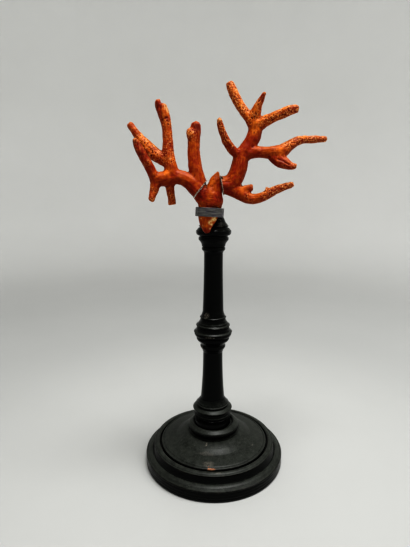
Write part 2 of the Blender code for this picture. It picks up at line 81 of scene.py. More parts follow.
# The solids that make up each real piece of coral
STEM = ["coral_stem"]
LEFT_CLUSTER = [name for name in BRANCH_LOOK if name.startswith("coral_left_")]
RIGHT_CLUSTER = [name for name in BRANCH_LOOK if name not in STEM + LEFT_CLUSTER]

# Coral surface
SWELL = 0.22  # closes the 0.3 mm cuts between the solids of one growth
SKIN_VOXEL = 0.32
STEM_VOXEL = 0.26
SMOOTHING = 26  # rounds that take the solids' facets off
LOOK_SPREAD = 60  # rounds that blend the look of one branch into the next
UNEVEN_SIZE = 4.0  # of the patches in which the coral is more pitted and more orange
LUMP = (0.20, 5.0)  # height and size
KNOB = (0.09, 1.8)
GRAIN = (0.035, 0.7)
STREAK_HEIGHT = 0.035
STREAK_ROUNDS = 40  # of drawing random values out along the branches
PIT_DEPTH = 0.25
PIT_SIZE = 1.1
PIT_FALL = (0.22, 0.42)  # the noise at which a pit starts to sink and at which it has its full depth
PITTED = (0.15, 0.6)  # how rough the coral is where pits start to show and where they fully do
FULL_HOLLOW = 0.12  # how far a point lies under its surroundings to count as all hollow

# Broken places on the coral: about where, the way that the broken face looks, how deep it cuts, how far
# it reaches and how pale the bare coral is there
LEFT_BREAKS = [
    ((-38, -7.8, 276.5), (-0.2, -0.4, 0.9), 0.5, 3, 0.2),
    ((-33, -10.5, 272.5), (0.8, -0.5, 0.4), 0.8, 4.5, 0.4),
    ((-59, -4.2, 261.5), (-0.6, -0.3, 0.7), 0.6, 4, 0.1),
    ((-52.8, -20.6, 249.5), (-0.3, -0.4, 0.9), 0.4, 3, 0.3),
    ((-43.5, -17.5, 208), (-0.5, -0.2, -0.9), 0.4, 3, 0.1),
    ((-29.4, -9, 205), (0.15, 0.05, -1), 0.4, 4.5, 0.1),
]
RIGHT_BREAKS = [
    ((11.6, -4.2, 288.5), (-0.5, -0.2, 0.8), 0.5, 4, 0.1),
    ((56.4, -17, 268.6), (0.95, -0.25, -0.2), 0.6, 4.5, 0.1),
    ((78, -10, 249.8), (1, -0.1, 0.15), 0.5, 3, 0.1),
    ((55.5, -22.3, 230.8), (1, -0.3, -0.1), 0.5, 3.5, 0.2),
    ((53.6, -21, 219.2), (0.9, -0.4, 0.3), 0.4, 3, 0.3),
    ((27.9, -13.7, 217.4), (1, -0.1, 0.1), 0.8, 3.5, 0),
    ((25.8, -13.7, 218.8), (-0.2, -0.2, 1), 0.5, 3.5, 0),
]

# Small bulges and hollows on the coral: where, how far each reaches and its height
STEM_BULGES = [
    (-3.1, -17.1, 215.9, 3, 0.55),
    (-6.4, -16.6, 215.8, 2, -0.45),
    (0.9, -18, 214.3, 2.2, -0.35),
    (-7, -17.5, 209.5, 2.2, -0.3),
    (2, -18.5, 209.5, 1.8, -0.3),
    (-3, -18.4, 193, 1.6, -0.25),
]
LEFT_BULGES = [
    (-15.8, -11.5, 254.3, 2.8, 0.4),
    (-14.8, -10.5, 258.8, 1.5, -0.8),
    (-32.7, -10.5, 268.6, 1.8, 0.4),
    (-46, -9.5, 249, 2.4, 0.45),
    (-41.2, -10.4, 245.2, 2.2, 0.4),
    (-51, -8, 253.6, 1.4, -0.45),
    (-55, -7.5, 257, 1.8, 0.3),
    (-52.8, -21.9, 248, 1.5, 0.35),
    (-51, -22.4, 245.3, 1.3, -0.4),
    (-50, -22.2, 241.5, 1.8, 0.35),
    (-45.8, -20.5, 234, 2.4, 0.3),
    (-32.4, -16.5, 227.1, 2.4, 0.5),
    (-28.8, -17, 224.5, 1.8, -0.4),
    (-23.2, -16.8, 224, 2.4, 0.3),
    (-42.9, -18.8, 211.6, 1.4, 0.3),
    (-41.9, -18, 215, 1.4, -0.3),
    (-32.4, -11.5, 205.9, 1.2, 0.35),
    (-27.4, -11.5, 205.9, 1.2, 0.35),
    (-29.8, -13, 214.5, 1.5, -0.3),
]
RIGHT_BULGES = [
    (32.4, -17, 243.5, 1.8, -0.45),
    (28.8, -16.5, 244, 1.7, 0.3),
    (37, -18, 243.6, 1.9, 0.3),
    (41.5, -20, 232.6, 1.4, -0.45),
    (59.1, -14.3, 250.2, 1.8, 0.35),
    (65, -13, 251, 1.4, -0.3),
    (70.5, -12.6, 251.2, 1.5, 0.3),
    (23.6, -12.1, 263.5, 2.6, 0.3),
    (26.5, -14, 256, 2.2, -0.35),
    (22, -14.5, 252, 2.2, 0.3),
    (18, -16, 243, 2.6, 0.25),
    (13.6, -16.5, 229, 2.4, 0.35),
    (10.5, -17, 221.5, 2, -0.35),
    (8.5, -18.4, 214.9, 1.8, -0.5),
    (15.5, -17.7, 212.6, 2.4, 0.3),
    (23.1, -18.3, 210, 2, -0.3),
    (45.5, -20.5, 216.5, 1.3, -0.4),
    (50.5, -21.8, 218.5, 1.2, 0.3),
    (6.3, -20, 254.5, 1.3, 0.3),
    (4.8, -20.8, 257.6, 1.1, -0.3),
    (18.6, -10, 273, 1.6, -0.3),
    (14.5, -8.4, 280.5, 1.6, 0.25),
    (46, -17.5, 265.5, 1.8, -0.3),
    (50.5, -18, 267, 1.6, 0.25),
]

# Ridges and furrows along the coral: from where, to where, how far each reaches sideways, and its height
STEM_RIDGES = [
    ((-3.4, -15.8, 217.3), (2.9, -15.2, 223), 0.9, 0.4),
    ((-1.4, -17, 217.4), (3.6, -16, 221), 1.2, -0.3),
    ((1.4, -15.2, 196), (-2, -17.4, 190), 0.6, 0.25),
]
LEFT_RIDGES = [
    ((-13.4, -11.6, 256.5), (-14.4, -12.3, 252), 1, -0.25),
    ((-36, -11.5, 262.3), (-31, -12.3, 264.3), 0.7, -0.45),
    ((-35, -12, 260.5), (-36.2, -11, 271), 0.8, -0.5),
]
RIGHT_RIDGES = [
    ((44.9, -20, 237.6), (50.6, -22.6, 233.3), 0.9, 0.5),
    ((43.2, -20.4, 235.6), (50.3, -22.8, 232), 0.7, -0.65),
    ((46.5, -20.6, 232.4), (52, -22.6, 230.2), 0.8, 0.3),
]

# Where the coral looks unlike the rest of its branch: where, how far the patch reaches, how orange it
# is, from about -1 for maroon over 0 for red to 1 for orange, how pitted, and how pale and worn
STEM_PATCHES = [
    (-2.8, -18.3, 213.5, 2.6, 0.6, 0, 0),
    (-6.4, -16.8, 215, 2.4, -0.4, 0, 0),
    (-0.4, -16.1, 220.4, 2.8, 0.85, 0.05, 0),
    (3, -15.4, 223.5, 2.4, 0.3, 0.05, 0),
    (3.6, -16.1, 218.5, 2.2, -0.1, 0.05, 0),
    (-9.5, -17.6, 211.8, 4, -0.6, 0.05, 0),
    (3.9, -17.3, 210, 3.4, -0.6, 0.1, 0),
    (-2, -19.4, 206.6, 3, 0.1, 0.1, 0),
    (-6.4, -18.2, 194.9, 2.2, 0.6, 0.1, 0),
    (-5.4, -18.2, 190.4, 2.2, 0.9, 0.1, 0),
    (-4.6, -17.9, 186.8, 2.2, -0.5, 0.1, 0),
    (-8.9, -17.2, 196, 0.9, 0.5, 0.1, 0.5),
    (-7.8, -17.6, 191, 0.9, 0.5, 0.1, 0.5),
    (-2.6, -17.8, 193.2, 1.6, 0.9, 0.1, 0.9),
    (-0.4, -16.6, 195.3, 1.6, 0.9, 0.1, 0.8),
    (1.2, -15.4, 195.2, 1.2, 0.9, 0.1, 1),
    (-1.2, -16.8, 191.6, 1, 0.8, 0.1, 0.9),
    (-2.4, -17.4, 188.8, 1, 0.6, 0.1, 0.7),
    (1, -15.8, 198, 1.6, 0.9, 0.1, 0.9),
]
LEFT_PATCHES = [
    (-38.2, -9.7, 272.5, 3.2, -0.8, 0.1, 0),
    (-37.4, -10.5, 266, 2.4, -0.6, 0.2, 0),
    (-36.8, -10.5, 261, 2.2, -0.4, 0.3, 0),
    (-34.6, -13.5, 243, 4, 0.2, 0.5, 0),
    (-33.5, -12.3, 266.4, 2.2, 0.9, 0.2, 0.2),
    (-46.4, -11.8, 245.9, 3.6, 0.8, 0.5, 0),
    (-42, -12.9, 242.2, 3.4, 0.6, 0.6, 0),
    (-58.8, -5.9, 261.1, 3.6, 0.1, 0.2, 0.2),
    (-47.5, -10.5, 242, 2, 0, 0.8, 0),
    (-52.8, -21.9, 247, 4.5, -0.5, 0.3, 0),
    (-50, -22.2, 240, 4.5, -0.2, 0.25, 0),
    (-11.4, -10.8, 258, 3.6, -0.8, 0, 0),
    (-15.4, -12, 254.2, 3.4, 0.6, 0.9, 0),
    (-13.4, -12.6, 245.9, 4, 0.55, 0.25, 0),
    (-13.5, -14.1, 232.5, 5, 0.3, 0.05, 0),
    (-31.9, -16.8, 227.4, 2.8, 1.1, 0.25, 0.15),
    (-27, -17, 223.5, 4, 0.2, 0.05, 0),
    (-38.9, -17.7, 225, 3, 0.55, 0.2, 0),
    (-20, -16.8, 223, 4, 0.45, 0.05, 0),
    (-16, -16.8, 214, 4, -0.2, 0.1, 0),
    (-54.7, -8.2, 254.8, 3, 0.3, 0.4, 0),
    (-31.5, -12.1, 263.4, 1.3, -0.4, 0.2, 0),
    (-28.9, -13.2, 245.5, 2.6, -0.2, 0.4, 0),
    (-31.6, -13.1, 253.5, 4, 0.6, 0.35, 0),
]
RIGHT_PATCHES = [
    (29.4, -14.7, 259.4, 5, 1.3, 0.35, 0),
    (25.2, -12.8, 264.5, 3.5, 1.2, 0.7, 0),
    (29.3, -14.1, 265.5, 3.2, 1.2, 0.5, 0),
    (30.5, -14.9, 270.8, 2.5, 0.8, 0.5, 0),
    (32.8, -15.2, 276.5, 3, -0.7, 0.3, 0),
    (34.2, -15.1, 261.3, 3.5, 1.1, 0.5, 0),
    (42.4, -16.9, 265, 4.5, 0.8, 0.9, 0),
    (50.3, -19.3, 267.1, 2.5, -0.1, 0.6, 0),
    (55, -18.7, 267.6, 2.6, -0.5, 0.8, 0),
    (11, -6.7, 287, 2.4, 0.1, 1, 0),
    (3.6, -21.1, 260.8, 2, 0.3, 0.6, 0.5),
    (12.9, -17, 240.6, 3, 0, 0.3, 0),
    (28, -14.7, 254.6, 3, 0.9, 0.35, 0),
    (27.6, -15.3, 249, 2, 0, 0.2, 0),
    (23.1, -14.2, 249.2, 2.6, 0, 0.1, 0),
    (22, -15.8, 244, 4.5, 0.05, 0, 0),
    (16.5, -17.2, 233, 5, 0.1, 0.1, 0),
    (12.2, -17.8, 224.5, 4, 0.3, 0.2, 0),
    (8.5, -18.4, 215.8, 4, -0.35, 0.1, 0),
    (29.4, -17.2, 239.8, 3, 0.1, 0, 0),
    (37.7, -19.1, 240.3, 3, 0.6, 0.05, 0),
    (45.3, -19.9, 241.5, 3.4, 1.2, 0.25, 0),
    (51, -17.5, 245.4, 3.4, 0.9, 0.7, 0),
    (40, -18.7, 234.1, 3, -0.5, 0.1, 0),
    (45.9, -21.9, 233.8, 3, -0.4, 0.1, 0),
    (49.7, -20.2, 236, 1.8, 0.4, 0, 0.2),
    (54.1, -23.7, 230.9, 2, -0.3, 0.4, 0),
    (61, -14, 250, 4.5, 0.5, 0.9, 0),
    (71, -12.5, 250.5, 5, 0, 1, 0),
    (78, -10, 250, 2, -0.6, 0.6, 0),
    (20.4, -16.7, 216.7, 3, 0.9, 0.1, 0),
    (30, -18.8, 210, 4, 0.65, 0.2, 0),
    (36.9, -18.1, 216.6, 1.4, -0.6, 0.3, 0),
    (42.9, -21.5, 216.8, 4.5, -0.1, 0.9, 0),
    (51.2, -22.6, 218.5, 3, -0.3, 0.9, 0),
]
BESIDE_METAL = ["clamp_band", "wire_left", "wire_right"]
CONTACT_SHADE_REACH = 0.9  # how far from the metal the coral is painted with contact shade

FOOT_FACING = (0.57, -0.81, -0.15)  # about the way that the flat on the stem's foot looks
FOOT_REACH = 10.0

# Stand
BASE_SIDES = 224
COLUMN_SIDES = 112
PROFILE_STEP = 0.8
RECESS_SHADE_SPREAD = 20  # rounds of smoothing that show which parts of the turned wood lie sunk
EDGE_NICKS = 0.22  # how deep the edges are nicked
EDGE_RISE = (0.02, 0.12)  # how far an edge stands out where it starts to count and where it fully does
NICK_SIZE = 2.6
NICK_RISE = (0.35, 0.75)  # the noise at which nicks start and at which they have their full depth
RAGGED_SIZE = 0.9  # of the unevenness of a worn place's rim
SPOT_FADE = (0.7, 1.15)  # the shares of a worn place's size between which it fades out
RECESS_SHADE_RISE = (0.08, 0.40)  # how far wood lies sunk where painted shade starts and where it is full
# Chipped places: height, radius, turn from the front towards +X in degrees, half its length round, half
# its width along the profile, and how deep it is
BASE_CHIPS = [
    (17.5, 42.2, -3.5, 3.4, 0.8, 0.3),
    (18.3, 40.6, -6.5, 1.6, 0.7, 0.1),
]
# Paint rubbed thin: the same first five numbers, and how thin
BASE_RUBS = [
    (24.1, 22.9, -15.5, 0.6, 1.8, 1),
    (19.6, 34, 62, 0.8, 0.6, 0.8),
    (17.2, 46, 4, 3, 0.4, 0.8),
    (18.7, 38, -7, 4.4, 2.4, 0.4),
    (20.9, 29.6, -12, 6, 1.8, 0.2),
]
COLUMN_RUBS = [
    (106.9, 14.4, -10, 9, 0.5, 1),
    (96.4, 9.8, -60, 1.2, 1, 0.6),
    (121.9, 8.8, -38, 2.6, 2.4, 0.6),
    (191.5, 9.6, 32, 3.2, 2.4, 0.35),
    (189.9, 10.8, 24, 3, 0.7, 0.5),
    (194.6, 8.1, 30, 2, 1.2, 0.4),
]

# Strip and wire
STRIP_EDGE = 0.22
STRIP_STEP = 0.7
STRIP_WAVES = (0.16, 7.0)  # height and size
STRIP_DENTS = (0.05, 1.6)
WIRE_RADIUS = 0.25
WIRE_SIDES = 10
WIRE_STEP = 0.6
WIRE_SHIFT = 0.45  # off the seam, towards the cluster, into the groove beside it
RIM = (0.2, 1.1)  # how far off the seam the coral lies that a wire is pulled tight round
TWIST_PITCH = 1.7
TWIST_STEP = 0.25
TWIST_REACH = 2.0  # of the darker colour round a wire's twisted ends
# The twisted ends: which way from the seam's middle they leave it, and the points they follow from there
LEFT_TWIST = ((0.7, -0.9, 0.6), [(0.1, -0.4, -0.7), (0.3, -0.7, -1.5), (0.7, -0.9, -2.3), (1.3, -1, -3.2)])
RIGHT_TWIST = ((0, -0.6, 1), [(0.4, -0.4, 0.2), (0.9, -0.8, -0.2), (1.1, -1, -1.2), (1.2, -1, -2.6)])


# Meshes held as arrays -


def read(collection, name, width, kind=np.float64):
    """One property of every item of a mesh's collection, as an array with so many columns."""
    values = np.zeros(len(collection) * width, kind)
    collection.foreach_get(name, values)
    return values.reshape(-1, width)


def smoothstep(low, high, values):
    t = np.clip((values - low) / (high - low), 0.0, 1.0)
    return t * t * (3.0 - 2.0 * t)


def unit(vectors):
    return vectors / np.maximum(np.linalg.norm(vectors, axis=-1, keepdims=True), 1e-12)


def smooth_noise(places, size, seed, octaves=1):
    """Noise between about -1 and 1, with features of about that size in millimetres."""
    shift = Vector((seed * 7.31, seed * 3.17, seed * 5.93))
    scale = 1.0 / (size * MM)
    if octaves == 1:
        return np.array([noise.noise(Vector(p) * scale + shift) for p in places])
    return np.array([noise.fractal(Vector(p) * scale + shift, 1.0, 2.0, octaves) for p in places])


class Skin:
    """A dense closed mesh held as arrays, to be smoothed, measured and carved."""

    def __init__(self, mesh):
        self.mesh = mesh
        self.places = read(mesh.vertices, "co", 3)
        self.ends = read(mesh.edges, "vertices", 2, np.int32)
        self.refresh()

    def refresh(self):
        """Puts the places into the mesh and works out the normals again."""
        self.mesh.vertices.foreach_set("co", self.places.astype(np.float32).ravel())
        self.mesh.update()
        self.normals = read(self.mesh.vertex_normals, "vector", 3)

    def around(self, values, weights=None):
        """Each point's mean over its neighbours, one column at a time, weighted edge by edge."""
        a, b = self.ends.T
        count = len(self.places)
        weights = np.ones(len(a)) if weights is None else weights
        total = np.bincount(a, weights, count) + np.bincount(b, weights, count)
        columns = values.reshape(count, -1)
        means = [
            (np.bincount(a, weights * c[b], count) + np.bincount(b, weights * c[a], count)) / total
            for c in columns.T
        ]
        return np.stack(means, axis=1).reshape(values.shape)

    def blurred(self, values, times, weights=None):
        for _ in range(times):
            values = 0.5 * values + 0.5 * self.around(values, weights)
        return values

    def smooth(self, times, inwards=0.55, outwards=-0.57):
        """Takes the facets off without shrinking the branches."""
        for _ in range(times):
            self.places += inwards * (self.around(self.places) - self.places)
            self.places += outwards * (self.around(self.places) - self.places)
        self.refresh()

    def raise_by(self, heights):
        """Moves each point out along its normal by its height in millimetres."""
        self.places += self.normals * heights[:, None] * MM
        self.refresh()

    def store(self, name, values):
        layer = self.mesh.attributes.new(name, "FLOAT", "POINT")
        layer.data.foreach_set("value", values.astype(np.float32))


def placed(name, data):
    """A new object in the scene, made from a mesh, a light or a camera."""
    made = bpy.data.objects.new(name, data)
    bpy.context.scene.collection.objects.link(made)
    return made


def piece(name, mesh, surface, nodes):
    """A piece of the object that stands for some CAD nodes, rides with the model and shows one surface."""
    made = placed(name, mesh)
    made.data.materials.clear()
    made.data.materials.append(surface)
    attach(made, "root")
    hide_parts(*nodes)


def modified(mesh, kind, **settings):
    """The mesh after one modifier."""
    body = placed("body", mesh)
    change = body.modifiers.new(kind, kind)
    for name, value in settings.items():
        setattr(change, name, value)
    graph = bpy.context.evaluated_depsgraph_get()
    graph.update()
    result = bpy.data.meshes.new_from_object(body.evaluated_get(graph))
    bpy.data.objects.remove(body, do_unlink=True)
    return result


# Coral -----------------


def welded(node):
    """A copy of a CAD node's mesh with its corners joined up."""
    shape = bmesh.new()
    shape.from_mesh(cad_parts[node].data)
    bmesh.ops.remove_doubles(shape, verts=shape.verts, dist=WELD)
    shape.normal_update()
    return shape


def as_mesh(shape, name):
    """The shape as a new mesh; the shape itself is freed."""
    mesh = bpy.data.meshes.new(name)
    shape.to_mesh(mesh)
    shape.free()
    return mesh


def grown_mesh(nodes, voxel):
    """The CAD nodes of one growth as one dense mesh, with the cuts between them closed."""
    together = bmesh.new()
    for node in nodes:
        part = welded(node)
        normals = [vertex.normal.copy() for vertex in part.verts]
        for vertex, normal in zip(part.verts, normals):
            vertex.co += normal * SWELL * MM
        together.from_mesh(as_mesh(part, "swollen"))
    return modified(as_mesh(together, "together"), "REMESH", mode="VOXEL", voxel_size=voxel * MM)


def owners(skin, nodes):
    """For each point of a skin, the number of the CAD node that it lies on."""
    corners = []
    faces = []
    owner = []
    for number, node in enumerate(nodes):
        shape = welded(node)
        first = len(corners)
        corners += [vertex.co.copy() for vertex in shape.verts]
        for face in shape.faces:
            faces.append([first + vertex.index for vertex in face.verts])
            owner.append(number)
        shape.free()
    tree = BVHTree.FromPolygons(corners, faces)
    return np.array([owner[tree.find_nearest(p)[2]] for p in skin.places])


def grain_direction(skin):
    """The way that the branch runs at each point of a skin, as unit vectors."""
    faces = [tuple(face.vertices) for face in skin.mesh.polygons]
    tree = BVHTree.FromPolygons([tuple(p) for p in skin.places], faces)
    middles = skin.places.copy()
    for k, (place, normal) in enumerate(zip(skin.places, skin.normals)):
        inwards = -Vector(normal)
        through = tree.ray_cast(Vector(place) + inwards * 0.05 * MM, inwards)[3]
        if through is not None:
            middles[k] = place - normal * through / 2.0
    middles = skin.blurred(middles, 12)
    a, b = skin.ends.T
    step = middles[b] - middles[a]
    spread = (step[:, :, None] * step[:, None, :]).reshape(-1, 9)
    count = len(skin.places)
    at_points = np.stack(
        [np.bincount(a, c, count) + np.bincount(b, c, count) for c in spread.T], axis=1
    )
    at_points = skin.blurred(at_points, 20).reshape(-1, 3, 3)
    return np.linalg.eigh(at_points)[1][:, :, 2]


def streaks(skin, along, seed):
    """Random values drawn out along the branches into streaks, with mean 0 and spread 1."""
    a, b = skin.ends.T
    edge = unit(skin.places[b] - skin.places[a])
    way = unit(along[a] + along[b] * np.sign(np.sum(along[a] * along[b], axis=1))[:, None])
    weights = np.abs(np.sum(edge * way, axis=1)) ** 6 + 0.004
    values = np.random.default_rng(seed).standard_normal(len(skin.places))
    values = skin.blurred(values, STREAK_ROUNDS, weights)
    return (values - values.mean()) / values.std()


def branch_look(skin, nodes, owner):
    """How far each point is pitted and how far orange, blended from each branch's fork to its tip."""
    look = np.zeros((len(skin.places), 2))
    a, b = skin.ends.T
    forks = np.unique(skin.ends[owner[a] != owner[b]])
    for number, node in enumerate(nodes):
        own = owner == number
        at_fork = forks[owner[forks] == number]
        root = skin.places[at_fork if len(at_fork) else own].mean(axis=0)
        away = np.linalg.norm(skin.places[own] - root, axis=1)
        at_root, at_tip = np.reshape(BRANCH_LOOK[node], (2, 2)).T
        look[own] = at_root + (at_tip - at_root) * (away / away.max())[:, None]
    return skin.blurred(look, LOOK_SPREAD).T


def flat_on(node, facing):
    """The middle of a CAD node's flat that faces about that way, and the way that it does face."""
    shape = welded(node)
    about = Vector(facing).normalized()
    flat = [face for face in shape.faces if face.normal.dot(about) > FLAT_COSINE]
    areas = [face.calc_area() for face in flat]
    middle = sum((face.calc_center_median() * area for face, area in zip(flat, areas)), Vector())
    normal = sum((face.normal * area for face, area in zip(flat, areas)), Vector())
    shape.free()
    return np.array(middle / sum(areas)), np.array(normal.normalized())


def break_at(skin, middle, facing, reach, seed):
    """Cuts a skin back to a rough plane through a place, and says where the broken face is, 0 to 1."""
    near = np.linalg.norm(skin.places - middle, axis=1) < reach * MM
    over = (skin.places - middle) @ facing / MM
    close = near & (over > -1.0)
    uneven = np.zeros(len(over))
    uneven[close] = 0.16 * smooth_noise(skin.places[close], 1.3, seed, 2)
    cut = close & (over > uneven)
    skin.places[cut] -= facing * ((over - uneven)[cut, None]) * MM
    return cut.astype(float)


def break_tips(skin, breaks, seed):
    """The broken places on a cluster; says how pale each point is with it."""
    pale = np.zeros(len(skin.places))
    for number, (about, facing, depth, reach, paleness) in enumerate(breaks):
        way = unit(np.array(facing))
        near = np.linalg.norm(skin.places - np.array(about) * MM, axis=1) < reach * MM
        own = skin.places[near]
        furthest = own[np.argmax(own @ way)]
        middle = furthest - way * depth * MM
        pale = np.maximum(pale, paleness * break_at(skin, middle, way, reach, seed + number))
    return pale


def nearness(skin, start, reach, end=None):
    """1 at a place on the skin, or on a line from there to its end, fading out over about its reach."""
    off = skin.places - np.array(start) * MM
    if end is not None:
        run = np.array(end) * MM - np.array(start) * MM
        off -= np.clip(off @ run / (run @ run), 0.0, 1.0)[:, None] * run
    return np.exp(-((np.linalg.norm(off, axis=1) / (reach * MM)) ** 2))


def beside(skin, nodes, reach):
    """1 where the skin touches one of the CAD nodes, fading to 0 over so many millimetres."""
    found = np.zeros(len(skin.places))
    for node in nodes:
        low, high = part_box(node)
        close = np.all(skin.places > np.array(low) - reach * MM, axis=1)
        close &= np.all(skin.places < np.array(high) + reach * MM, axis=1)
        shape = welded(node)
        tree = BVHTree.FromBMesh(shape)
        shape.free()
        for k in np.flatnonzero(close):
            found[k] = max(found[k], 1.0 - tree.find_nearest(skin.places[k])[3] / (reach * MM))
    return found


def coral_relief(skin, rough, drawn, pit, bulges, ridges, seed):
    """Heights in millimetres of the coral's bulges, ridges, lumps, knobs, grain, streaks and pits."""
    heights = LUMP[0] * smooth_noise(skin.places, LUMP[1], seed, 2)
    for *place, reach, height in bulges:
        heights += height * nearness(skin, place, reach)
    for start, end, reach, height in ridges:
        heights += height * nearness(skin, start, reach, end)
    heights += KNOB[0] * smooth_noise(skin.places, KNOB[1], seed + 1) * (0.35 + rough)
    heights += GRAIN[0] * smooth_noise(skin.places, GRAIN[1], seed + 2) * (0.3 + 1.5 * rough)
    heights += STREAK_HEIGHT * drawn * (1.0 - 0.6 * rough)
    return heights - PIT_DEPTH * pit


def make_coral(name, nodes, voxel, marks, surface, seed):
    breaks, bulges, ridges, patches = marks
    skin = Skin(grown_mesh(nodes, voxel))
    skin.smooth(SMOOTHING)
    skin.raise_by(np.full(len(skin.places), -SWELL))
    owner = owners(skin, nodes)
    rough, orange = branch_look(skin, nodes, owner)
    worn = np.zeros(len(skin.places))
    for *place, reach, patch_orange, patch_rough, patch_worn in patches:
        share = nearness(skin, place, reach)
        orange += share * (patch_orange - orange)
        rough += share * (patch_rough - rough)
        worn += share * (patch_worn - worn)
    uneven = smooth_noise(skin.places, UNEVEN_SIZE, seed + 1)
    rough = np.clip(rough + 0.25 * uneven, 0.0, 1.0)
    drawn = streaks(skin, grain_direction(skin), seed)
    pit = smoothstep(*PIT_FALL, smooth_noise(skin.places, PIT_SIZE, seed + 2))
    pit *= smoothstep(*PITTED, rough)
    skin.raise_by(coral_relief(skin, rough, drawn, pit, bulges, ridges, seed + 3))
    broken = break_tips(skin, breaks, seed + 6)
    if "coral_stem" in nodes:
        middle, facing = flat_on("coral_stem", FOOT_FACING)
        break_at(skin, middle, facing, FOOT_REACH, seed + 6)
    skin.refresh()
    # How far each point lies sunk; the surface paints shade into the hollows from this.
    hollow = np.sum((skin.blurred(skin.places, 8) - skin.places) * skin.normals, axis=1) / MM
    skin.store("hollow", np.clip(hollow / FULL_HOLLOW, -1.0, 1.0))
    skin.store("orange", orange + 0.12 * uneven)
    skin.store("rough", rough)
    skin.store("pit", pit)
    skin.store("streak", drawn)
    skin.store("pale", np.maximum(worn, skin.blurred(broken, 2)))
    # Painted shade: the coral is darker where it meets the strip and the wires.
    skin.store("metal_contact_shade", beside(skin, BESIDE_METAL, CONTACT_SHADE_REACH))
    # How far the coral faces up; the surface paints light on top and shade underneath from this.
    skin.store("top", skin.blurred(skin.normals[:, 2], 6))
    skin.mesh.shade_smooth()
    piece(name, skin.mesh, surface, nodes)
    return skin


# Turned wood -----------


def bead(bottom, top, radius, bulge, steps=10):
    """Half-round moulding: (radius, height) points from its lower edge to its upper one."""
    turns = [math.pi * k / steps for k in range(steps + 1)]
    return [
        (radius + bulge * math.sin(turn), bottom + (top - bottom) * (1.0 - math.cos(turn)) / 2.0)
        for turn in turns
    ]


def sweep(start, end, bend, steps=10):
    """Curved stretch from one (radius, height) to another, bulging out by bend, or in if negative."""
    shares = [k / steps for k in range(steps + 1)]
    return [
        (
            start[0] + (end[0] - start[0]) * t + bend * math.sin(math.pi * t),
            start[1] + (end[1] - start[1]) * t,
        )
        for t in shares
    ]


def score(radius, height, depth=0.25, width=0.3):
    """A fine line turned into an upright stretch."""
    return [(radius, height - width), (radius - depth, height), (radius, height + width)]


def divided(profile):
    """The profile with its long stretches divided, so that wear can be carved into them."""
    found = [profile[0]]
    for start, end in zip(profile, profile[1:]):
        parts = max(1, math.ceil(math.dist(start, end) / PROFILE_STEP))
        for k in range(1, parts + 1):
            t = k / parts
            found.append((start[0] + (end[0] - start[0]) * t, start[1] + (end[1] - start[1]) * t))
    return found


def ring_faces(rings, sides):
    """The faces between rings of so many corners each, which are numbered ring after ring."""
    faces = []
    for first in range(0, (rings - 1) * sides, sides):
        for k in range(sides):
            a = first + k
            b = first + (k + 1) % sides
            faces.append((a, b, b + sides, a + sides))
    return faces


def lathed(name, profile, sides):
    """A closed mesh turned round Z from (radius, height) points in millimetres from axis to axis."""
    inner = divided(profile)[1:-1]
    turns = [math.tau * k / sides for k in range(sides)]
    corners = [(r * math.sin(a) * MM, -r * math.cos(a) * MM, z * MM) for r, z in inner for a in turns]
    bottom = len(corners)
    corners += [(0.0, 0.0, profile[0][1] * MM), (0.0, 0.0, profile[-1][1] * MM)]
    faces = ring_faces(len(inner), sides)
    last = (len(inner) - 1) * sides
    for k in range(sides):
        faces.append((bottom, (k + 1) % sides, k))
        faces.append((bottom + 1, last + k, last + (k + 1) % sides))
    mesh = bpy.data.meshes.new(name)
    mesh.from_pydata(corners, [], faces)
    mesh.update()
    return mesh


def mark_on(skin, spot, ragged):
    """1 inside a ragged oval spot on turned wood, fading to 0 round it."""
    height, radius, turn, length, width = spot
    angle = math.radians(turn)
    middle = np.array([radius * math.sin(angle), -radius * math.cos(angle), height]) * MM
    round_way = np.array([math.cos(angle), math.sin(angle), 0.0])
    off = skin.places - middle
    along = off @ round_way
    across = np.linalg.norm(off - along[:, None] * round_way, axis=1)
    away = np.sqrt((along / (length * MM)) ** 2 + (across / (width * MM)) ** 2)
    return 1.0 - smoothstep(*SPOT_FADE, away + 0.35 * ragged)


def wear_down(skin, chips, rubs, seed):
    """Nicks the edges and chips the wood; stores where edges, bare wood and thin paint show, and how far
    parts lie sunk, for painted shade.
    """
    edge = np.sum((skin.places - skin.around(skin.places)) * skin.normals, axis=1) / MM
    edge = smoothstep(*EDGE_RISE, skin.blurred(edge, 1))
    nicks = edge * smoothstep(*NICK_RISE, smooth_noise(skin.places, NICK_SIZE, seed, 2))
    ragged = smooth_noise(skin.places, RAGGED_SIZE, seed + 1, 2)
    bare = np.zeros(len(skin.places))
    deep = np.zeros(len(skin.places))
    for *spot, depth in chips:
        mark = mark_on(skin, spot, ragged)
        bare = np.maximum(bare, mark)
        deep = np.maximum(deep, mark * depth)
    thin = np.zeros(len(skin.places))
    for *spot, share in rubs:
        thin = np.maximum(thin, share * mark_on(skin, spot, ragged))
    skin.raise_by(-EDGE_NICKS * nicks - deep * (1.0 + 0.3 * ragged))
    sunk = np.sum((skin.blurred(skin.places, RECESS_SHADE_SPREAD) - skin.places) * skin.normals, axis=1) / MM
    skin.store("edge", edge)
    skin.store("bare", bare)
    skin.store("thin", thin)
    # How far each part lies sunk; the wood is painted in shade there.
    skin.store("recess_shade", smoothstep(*RECESS_SHADE_RISE, sunk))
    skin.store("top", skin.normals[:, 2])


